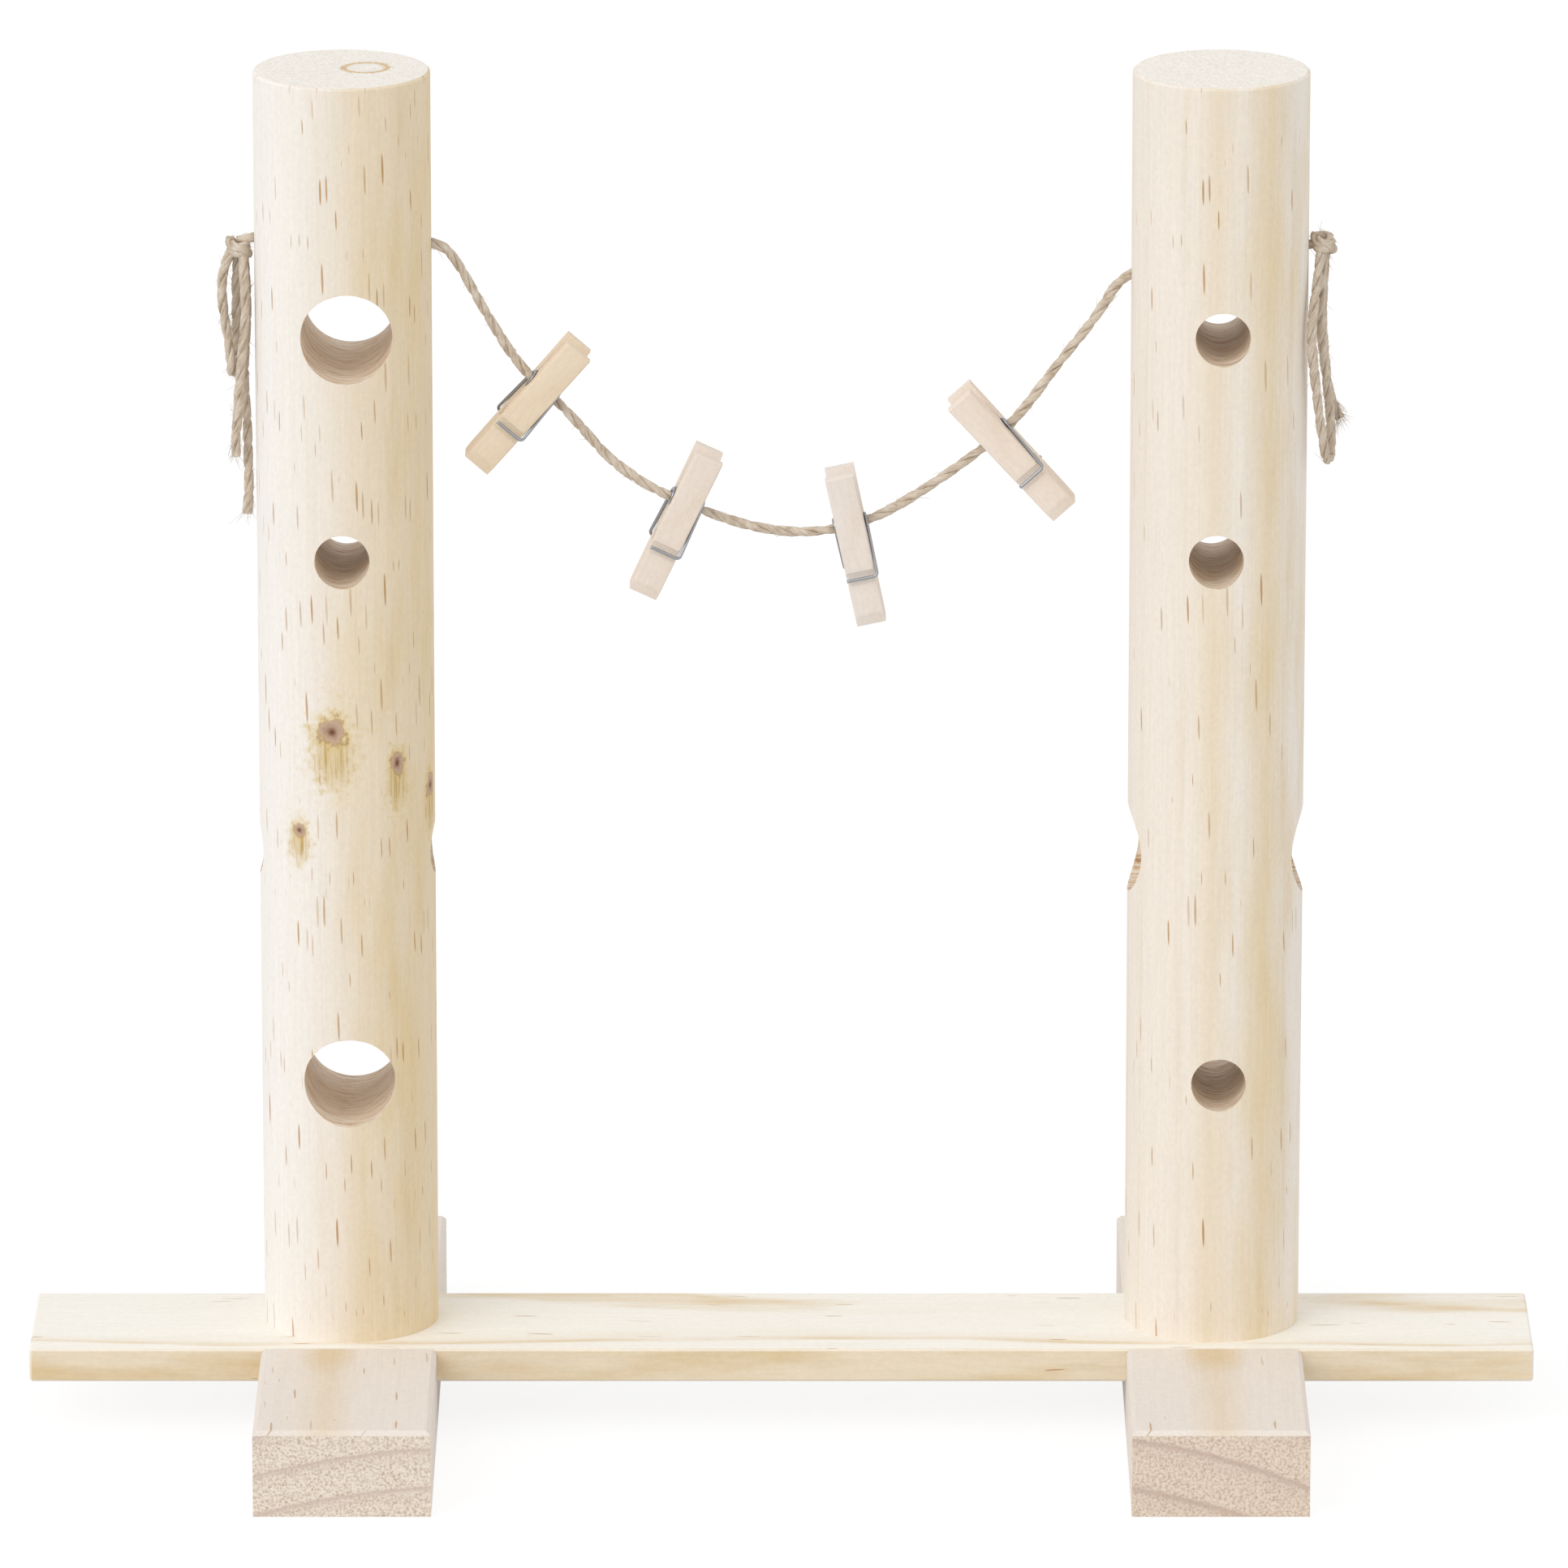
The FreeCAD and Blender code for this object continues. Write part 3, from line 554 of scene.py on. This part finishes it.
def spline_line(name, route):
    """The smooth line of a twine route, read from its NURBS spline."""
    curve = bpy.data.curves.new(name + "_route", "CURVE")
    curve.dimensions = "3D"
    spline = curve.splines.new("NURBS")
    spline.points.add(len(route) - 1)
    for point, (x, back, z) in zip(spline.points, route):
        point.co = (x, POST_Y + back, z, 1)
    spline.order_u = 3
    spline.use_endpoint_u = True
    spline.resolution_u = 24
    holder = bpy.data.objects.new(name + "_route", curve)
    bpy.context.scene.collection.objects.link(holder)
    depsgraph = bpy.context.evaluated_depsgraph_get()
    mesh = bpy.data.meshes.new_from_object(holder.evaluated_get(depsgraph))
    line = np.empty(len(mesh.vertices) * 3)
    mesh.vertices.foreach_get("co", line)
    bpy.data.objects.remove(holder)
    bpy.data.meshes.remove(mesh)
    return evenly(line.reshape(-1, 3), TWINE_STEP)


def evenly(line, step):
    """The same line with its points at even steps."""
    run = np.r_[0, np.cumsum(np.linalg.norm(np.diff(line, axis=0), axis=1))]
    at = np.linspace(0, run[-1], max(3, round(run[-1] / step) + 1))
    return np.stack([np.interp(at, run, line[:, k]) for k in range(3)], axis=1)


def sides_of(line, facing):
    """Two unit vectors square to a line at each of its points, the first square to a given direction too."""
    tangent = unit(np.gradient(line, axis=0))
    first = unit(np.cross(tangent, np.asarray(facing, float)))
    return first, np.cross(tangent, first)


def tube(line, facing, radius, sides):
    """Rings round a line: its points plus radius times cosine and sine of the angle along its two sides."""
    first, second = sides_of(line, facing)
    angle = np.linspace(0, 2 * math.pi, sides, endpoint=False)
    ring = np.cos(angle)[None, :, None] * first[:, None] + np.sin(angle)[None, :, None] * second[:, None]
    return line[:, None] + radius * ring


def plies(line, facing, start=0.0):
    """The two plies of a twine, each an oval that winds round the line once in a lay.

    The oval's short half width points away from the line and its long one along the seam between the plies, so
    that the two fill a nearly round twine. Slow waves along the line make each ply thicker and thinner.
    """
    first, second = sides_of(line, facing)
    run = np.linspace(0, 1, len(line)) * np.linalg.norm(np.diff(line, axis=0), axis=1).sum()
    slub = 1 + 0.06 * np.sin(run / (5.3 * MM) + start) + 0.04 * np.sin(run / (2.1 * MM) + 2 * start)
    around = np.linspace(0, 2 * math.pi, 16, endpoint=False)[None, :, None]
    ribs = 1 + 0.04 * np.cos(6 * around - run[:, None, None] / (0.9 * MM))
    made = []
    for half in (0, math.pi):
        angle = (2 * math.pi * run / LAY + half + start)[:, None]
        out = np.cos(angle) * first + np.sin(angle) * second
        seam = np.cos(angle) * second - np.sin(angle) * first
        size = slub[:, None, None] * ribs
        oval = PLY_REACH * np.cos(around) * out[:, None] + PLY_BREADTH * np.sin(around) * seam[:, None]
        made.append((line[:, None] + PLY_OFFSET * out[:, None] + size * oval)[None])
    return made


def stray_fibres(line, count, low, high, lift, end_share=0.0):
    """Thin fibres that leave a twine's surface: each starts on the twine and runs along it in a bowed line.

    None starts so near a peg that the peg would catch it as it swings.
    """
    at = rng.integers(2, len(line) - 2, count)
    if end_share:
        at = len(line) - 1 - (rng.random(count) ** 2 * end_share * len(line)).astype(int)
        at = np.clip(at, 2, len(line) - 2)
    pegs = np.array([(x * MM, POST_Y, z * MM) for x, z, _ in PEG_PLACES.values()])
    at = at[np.linalg.norm(line[at][:, None] - pegs, axis=-1).min(axis=1) > PEG_CLEARANCE]
    count = len(at)
    tangent = unit(line[at + 1] - line[at - 1])
    if not end_share:
        tangent = tangent * np.where(rng.random((count, 1)) < 0.5, -1, 1)
    out = unit(np.cross(tangent, rng.normal(size=(count, 3))))
    swing = unit(rng.normal(size=(count, 3)))
    length = rng.uniform(low, high, (count, 1, 1))
    t = np.linspace(0, 1, 6)[None, :, None]
    start = line[at][:, None] + FIBRE_ROOT * out[:, None]
    way = unit(tangent + lift * rng.random((count, 1)) * out)[:, None]
    centre = start + length * (t * way + 0.32 * t**2 * swing[:, None])
    side = unit(np.cross(way, swing[:, None] + 0.01))
    other = np.cross(way, side)
    angle = np.linspace(0, 2 * math.pi, 3, endpoint=False)[None, None, :, None]
    ring = np.cos(angle) * side[:, :, None] + np.sin(angle) * other[:, :, None]
    return centre[:, :, None] + FIBRE_RADIUS * (1.05 - 0.6 * t[..., None]) * ring


def piece(name, groups, material):
    """One object from closed tubes. Each group is an array of tubes, rings, points of a ring and XYZ.

    The UV map runs in metres: along the tube, and round it.
    """
    corners, faces, maps = [], [], []
    offset = 0
    for group in groups:
        tubes, rings, sides = group.shape[:3]
        index = offset + np.arange(tubes * rings * sides).reshape(tubes, rings, sides)
        ahead = np.roll(index, -1, axis=2)
        quads = np.stack([index[:, :-1], ahead[:, :-1], ahead[:, 1:], index[:, 1:]], axis=-1)
        faces += quads.reshape(-1, 4).tolist()
        step = np.linalg.norm(group[:, 1:, 0] - group[:, :-1, 0], axis=-1)
        run = np.concatenate([np.zeros((tubes, 1)), np.cumsum(step, axis=1)], axis=1)
        wide = np.linalg.norm(group[:, :1, 1] - group[:, :1, 0], axis=-1)[..., None] * np.arange(sides + 1)
        shape = (tubes, rings - 1, sides)
        near, far = (np.broadcast_to(part[..., None], shape) for part in (run[:, :-1], run[:, 1:]))
        left, right = (np.broadcast_to(part, shape) for part in (wide[..., :-1], wide[..., 1:]))
        maps.append(np.stack([near, left, near, right, far, right, far, left], axis=-1).reshape(-1))
        ends = np.concatenate([index[:, 0, ::-1], index[:, -1]]).tolist()
        faces += ends
        maps.append(np.zeros(len(ends) * sides * 2))
        corners.append(group.reshape(-1, 3))
        offset += tubes * rings * sides
    mesh = bpy.data.meshes.new(name)
    mesh.from_pydata(np.concatenate(corners).tolist(), [], faces)
    mesh.uv_layers.new(name="UVMap").data.foreach_set("uv", np.concatenate(maps))
    mesh.polygons.foreach_set("use_smooth", np.ones(len(mesh.polygons), bool))
    mesh.materials.append(material)
    mesh.update()
    made = bpy.data.objects.new(name, mesh)
    bpy.context.scene.collection.objects.link(made)
    return made


# Twine


def make_twine(material):
    """Each stretch of the twine as two plies, with its stray fibres as a piece that goes with it."""
    for number, (name, (route, facing, length, far_end, strays, frayed)) in enumerate(CORDS.items()):
        line = spline_line(name, route)
        rope = piece(name + "_plies", plies(line, facing, 0.9 * number), material)
        hairs = [stray_fibres(line, strays, 0.8 * MM, 3.2 * MM, 1.0)]
        if frayed:
            hairs.append(stray_fibres(line, frayed, 1.2 * MM, 3.6 * MM, 0.9, 0.12))
        fibres = piece(name + "_fibres", hairs, material)
        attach(rope, "stand")
        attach(fibres, "stand")
        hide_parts(name)


def make_knots(material):
    """Each knot: the twine wraps round itself two and a bit times, and crosses over its own wraps."""
    for number, (name, (x, back, z)) in enumerate(KNOT_PLACES.items()):
        t = np.linspace(0, 1, 90)
        angle = 2 * math.pi * WRAP_TURNS * t + number
        wrap = np.stack([
            x + WRAP_RADIUS * np.cos(angle),
            POST_Y + back + WRAP_RADIUS * np.sin(angle),
            z + (-1.1 + 2.2 * t + 0.35 * np.sin(angle)) * MM,
        ], axis=1)
        over = np.stack([
            x + 1.9 * MM * np.sin(2 * math.pi * 0.62 * (t - 0.5)),
            POST_Y + back - (2.3 * np.cos(math.pi * (t - 0.5)) - 0.6) * MM,
            z + 1.7 * MM * (1 - 2 * t),
        ], axis=1)
        wrap, over = evenly(wrap, TWINE_STEP), evenly(over, TWINE_STEP)
        groups = plies(wrap, (0, 0, 1)) + plies(over, (0, 1, 0.3), 1.3)
        groups.append(stray_fibres(wrap, 46, 0.8 * MM, 2.6 * MM, 1.6))
        knot = piece(name + "_wraps", groups, material)
        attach(knot, "stand")
        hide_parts(name)


# Peg springs


def spring_line():
    """The spring's wire in the peg's frame, in millimetres, with the direction across the wire at each point.

    The coil is a helix that closes up towards its ends. Each arm leaves it along its tangent, bends and
    crosses a lever: the right-hand arm crosses the front one, the left-hand arm the back one.
    """
    tilt = math.atan2(CROSSING_REACH, GROOVE_PLACE)
    tilt -= math.asin(COIL_RADIUS / math.hypot(CROSSING_REACH, GROOVE_PLACE))
    share = np.linspace(0, 1, 60 * COIL_TURNS)
    turn = 2 * math.pi * COIL_TURNS + math.pi - 2 * tilt
    angle = -(math.pi / 2 + tilt) - turn * share
    along = 2 * share - 1
    coil = np.stack([
        COIL_END * ((1 + COIL_CLOSING) * along - COIL_CLOSING * along**3),
        -COIL_RADIUS * np.sin(angle),
        -COIL_RADIUS * np.cos(angle),
    ], axis=1)
    across = coil * (0, 1, 1) / COIL_RADIUS

    def arm(place, way, side):
        """From the coil's rim along its tangent, round a bend and across the lever."""
        corner = place + way * (GROOVE_PLACE + place[2]) / -way[2]
        crossing = np.array((-side, 0.0, 0.0))
        t = np.linspace(0, math.pi / 2, 10)[:, None]
        bend = corner - way * ARM_BEND + ARM_BEND * (np.sin(t) * way + (1 - np.cos(t)) * crossing)
        start = place + np.linspace(0, 1, 14)[1:-1, None] * (bend[0] - place)
        end = np.array((-side * PEG_WIDTH / 2, corner[1], corner[2]))
        finish = bend[-1] + np.linspace(0, 1, 14)[1:, None] * (end - bend[-1])
        return np.concatenate([start, bend, finish])

    def away(i, j):
        step = (coil[i] - coil[j]) * (0, 1, 1)
        return step / np.linalg.norm(step)

    left = arm(coil[0], away(0, 1), -1)[::-1]
    right = arm(coil[-1], away(-1, -2), 1)
    line = np.concatenate([left, coil, right])
    facing = np.concatenate([
        np.broadcast_to(across[0], left.shape), across, np.broadcast_to(across[-1], right.shape),
    ])
    return line, facing


def make_springs(material):
    """Each peg's wire spring, which twists between the two levers as they are squeezed."""
    line, facing = spring_line()
    for peg, (x, z, rise) in PEG_PLACES.items():
        angle = math.radians(rise)
        level, upright = math.cos(angle), math.sin(angle)
        turned = np.array([[level, 0, -upright], [0, 1, 0], [upright, 0, level]])
        place = np.array((x * MM, POST_Y, z * MM))
        rings = tube(line @ turned.T * MM + place, facing @ turned.T, WIRE_RADIUS * MM, 12)
        spring = piece(f"{peg}_wire", [rings[None]], material)
        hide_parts(f"{peg}_spring")
        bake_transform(spring)


# Finishes of the CAD nodes


def finish_node(node, material):
    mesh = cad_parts[node].data
    mesh.materials.clear()
    mesh.materials.append(material)


def finish_posts():
    """Turned pine: the left post white on one side, tan on the other and knotted, the right one banded. The white
    and tan are partly painted highlight and shade.
    """
    tones = {
        # White towards the left and tan towards the right: partly the wood's own tones, partly painted highlight
        # and shade from the key light at the left. The right post's cream right edge is partly a painted
        # highlight.
        "left": [(0.1, SAPWOOD_AND_HIGHLIGHT), (0.36, CREAM_WOOD), (0.58, TAN_WOOD), (0.9, GOLDEN_WOOD)],
        "right": [(0.3, CREAM_WOOD), (0.46, TAN_WOOD), (0.6, CREAM_WOOD), (0.77, GOLDEN_WOOD), (0.92, CREAM_WOOD)],
    }
    left, right = POST_X["left"], POST_X["right"]
    finish_node("left_post", pine(
        "turned_pine_left_post", (left, POST_Y, 0), ("X", 0), POST_RADIUS, tones["left"],
        pith=(5.2 * MM, 1.3 * MM), spacing=4.6 * MM, ring=0.14, gold=0.5, dashes=0.65, around=True,
        wander=0.8, knots=KNOTS, holes=(left, HOLES["left"]), heart=4.9 * MM,
    ))
    finish_node("right_post", pine(
        "turned_pine_right_post", (right, POST_Y, 0), ("X", 0), POST_RADIUS, tones["right"],
        pith=(-7 * MM, 30 * MM), spacing=6 * MM, ring=0.25, gold=0.4, dashes=0.3, around=True,
        wander=0.6, holes=(right, HOLES["right"]),
    ))


def finish_base():
    """Planed pine: a pale crossbar with tan edges, and feet whose sawn ends show open pores and wide rings."""
    quarter = math.pi / 2
    finish_node("crossbar", pine(
        "planed_pine_crossbar", (0, 0, BOARD_TOP), ("Y", -quarter), 8 * MM, [(0.0, "#FDF9F0"), (1.0, "#FDF8EE")],
        pith=(-34 * MM, 14 * MM), spacing=11.3 * MM, ring=0.85, dashes=0.12, slant=0.01, wander=2.6,
        faces=((0, 1, 0), "#E0C79C", "#EDDDC2"),
    ))
    tones = {
        "left": [(0.2, GREY_WOOD), (0.4, TAN_STRIPE), (0.58, GREY_WOOD)],
        "right": [(0.3, GREY_WOOD), (0.5, TAN_STRIPE), (0.68, GREY_WOOD)],
    }
    sawn = {"left": ("#C0A88F", "#F3E7D8", "#D2BFB0"), "right": ("#C0A68C", "#EDDCCB", "#C9B1A2")}
    pith = {"left": (29 * MM, 175 * MM), "right": (-52 * MM, 165 * MM)}
    spacing = {"left": 8.69 * MM, "right": 10.97 * MM}
    stain = {"left": (-5 * MM, (150, 62, 60)), "right": (-0.5 * MM, (120, 70, 60))}
    for side, x in POST_X.items():
        aside, size = stain[side]
        finish_node(f"{side}_foot", pine(
            f"sawn_pine_{side}_foot", (x, 0, 0), ("X", quarter), FOOT_HALF_WIDTH, tones[side],
            pith=pith[side], spacing=spacing[side], ring=0.12, dashes=0.3 if side == "left" else 0.06,
            sawn=sawn[side], wander=0.5, patch=((x + aside, -BOARD_HALF_DEPTH - 4 * MM, BOARD_TOP), size),
        ))


def finish_pegs():
    """Split birch, cut smooth: even and pale, with very fine fibre. One peg is warmer than the rest."""
    tones = {
        "peg_1": ("#F0DDC4", "#E9D5B9"),
        "peg_2": ("#EFE2D5", "#EBDCCD"),
        "peg_3": ("#F0E5DC", "#ECDFD3"),
        "peg_4": ("#F3E5D7", "#EFDECD"),
    }
    for peg, (x, z, rise) in PEG_PLACES.items():
        light, dark = tones[peg]
        lever = pine(
            f"split_birch_{peg}", (x * MM, POST_Y, z * MM), ("Y", math.radians(rise)), PEG_WIDTH / 2 * MM,
            [(0.0, light), (1.0, dark)], pith=(4 * MM, 40 * MM), spacing=2.4 * MM, ring=0.12,
            sawn=(dark, light, light), wander=1.0,
        )
        finish_node(f"{peg}_front_lever", lever)
        finish_node(f"{peg}_back_lever", lever)


# Stage, light and camera


def seen_or_mirrored(tree):
    """The light path node, and a node that is 1 where the camera or a glossy surface sees this one."""
    path = add(tree, "LightPath", {})
    camera, gloss = path.outputs["Is Camera Ray"], path.outputs["Is Glossy Ray"]
    return path, add(tree, "Math", {0: camera, 1: gloss}, operation="MAXIMUM")


def make_stage():
    """A white floor that keeps a soft shadow, and a white surround for the camera and for gloss."""
    bpy.ops.mesh.primitive_plane_add(size=30)
    floor = bpy.context.object
    floor.name = "floor"
    floor.location.z = -0.0002
    material, tree = new_material("white_paper")
    _, shine = seen_or_mirrored(tree)
    paper = add(tree, "BsdfDiffuse", {"Color": colour("#E8E8E8")})
    faint = add(tree, "BsdfDiffuse", {"Color": (0.2, 0.2, 0.2, 1)})
    glow = add(tree, "Emission", {"Color": (1, 1, 1, 1), "Strength": FLOOR_GLOW})
    lit = add(tree, "AddShader", {0: faint, 1: glow})
    add(tree, "OutputMaterial", {"Surface": add(tree, "MixShader", {0: shine, 1: paper, 2: lit})})
    floor.data.materials.append(material)
    world = bpy.data.worlds.new("white_room")
    world.use_nodes = True
    world.node_tree.nodes.clear()
    tree = world.node_tree
    path, shine = seen_or_mirrored(tree)
    shine = add(tree, "Math", {0: shine, 1: path.outputs["Is Transmission Ray"]}, operation="MAXIMUM")
    room = add(tree, "Background", {"Color": (1, 1, 1, 1), "Strength": AMBIENT})
    white = add(tree, "Background", {"Color": (1, 1, 1, 1), "Strength": 1.0})
    add(tree, "OutputWorld", {"Surface": add(tree, "MixShader", {0: shine, 1: room, 2: white})})
    bpy.context.scene.world = world


def make_light(name, strength, angle, toward):
    """A broad soft lamp. toward is the way its light goes."""
    lamp = bpy.data.lights.new(name, "SUN")
    lamp.energy = strength
    lamp.angle = math.radians(angle)
    holder = bpy.data.objects.new(name, lamp)
    holder.rotation_euler = Vector(toward).to_track_quat("-Z", "Y").to_euler()
    bpy.context.scene.collection.objects.link(holder)


def make_camera():
    data = bpy.data.cameras.new("camera")
    data.lens = LENS
    data.clip_end = 100
    camera = bpy.data.objects.new("camera", data)
    back = Vector((0, -math.cos(PITCH), math.sin(PITCH)))
    camera.location = AIM + back * CAMERA_DISTANCE
    camera.rotation_euler = (math.pi / 2 - PITCH, 0, 0)
    bpy.context.scene.collection.objects.link(camera)
    bpy.context.scene.camera = camera


def main():
    make_stage()
    make_light("key", *KEY)
    make_light("fill", *FILL)
    make_camera()
    bpy.context.scene.view_settings.view_transform = "Standard"
    fibre = jute()
    make_twine(fibre)
    make_knots(fibre)
    make_springs(bright_wire())
    finish_posts()
    finish_base()
    finish_pegs()
    steel = zinc()
    for side in ("left", "right"):
        finish_node(f"{side}_post_screw", steel)


main()
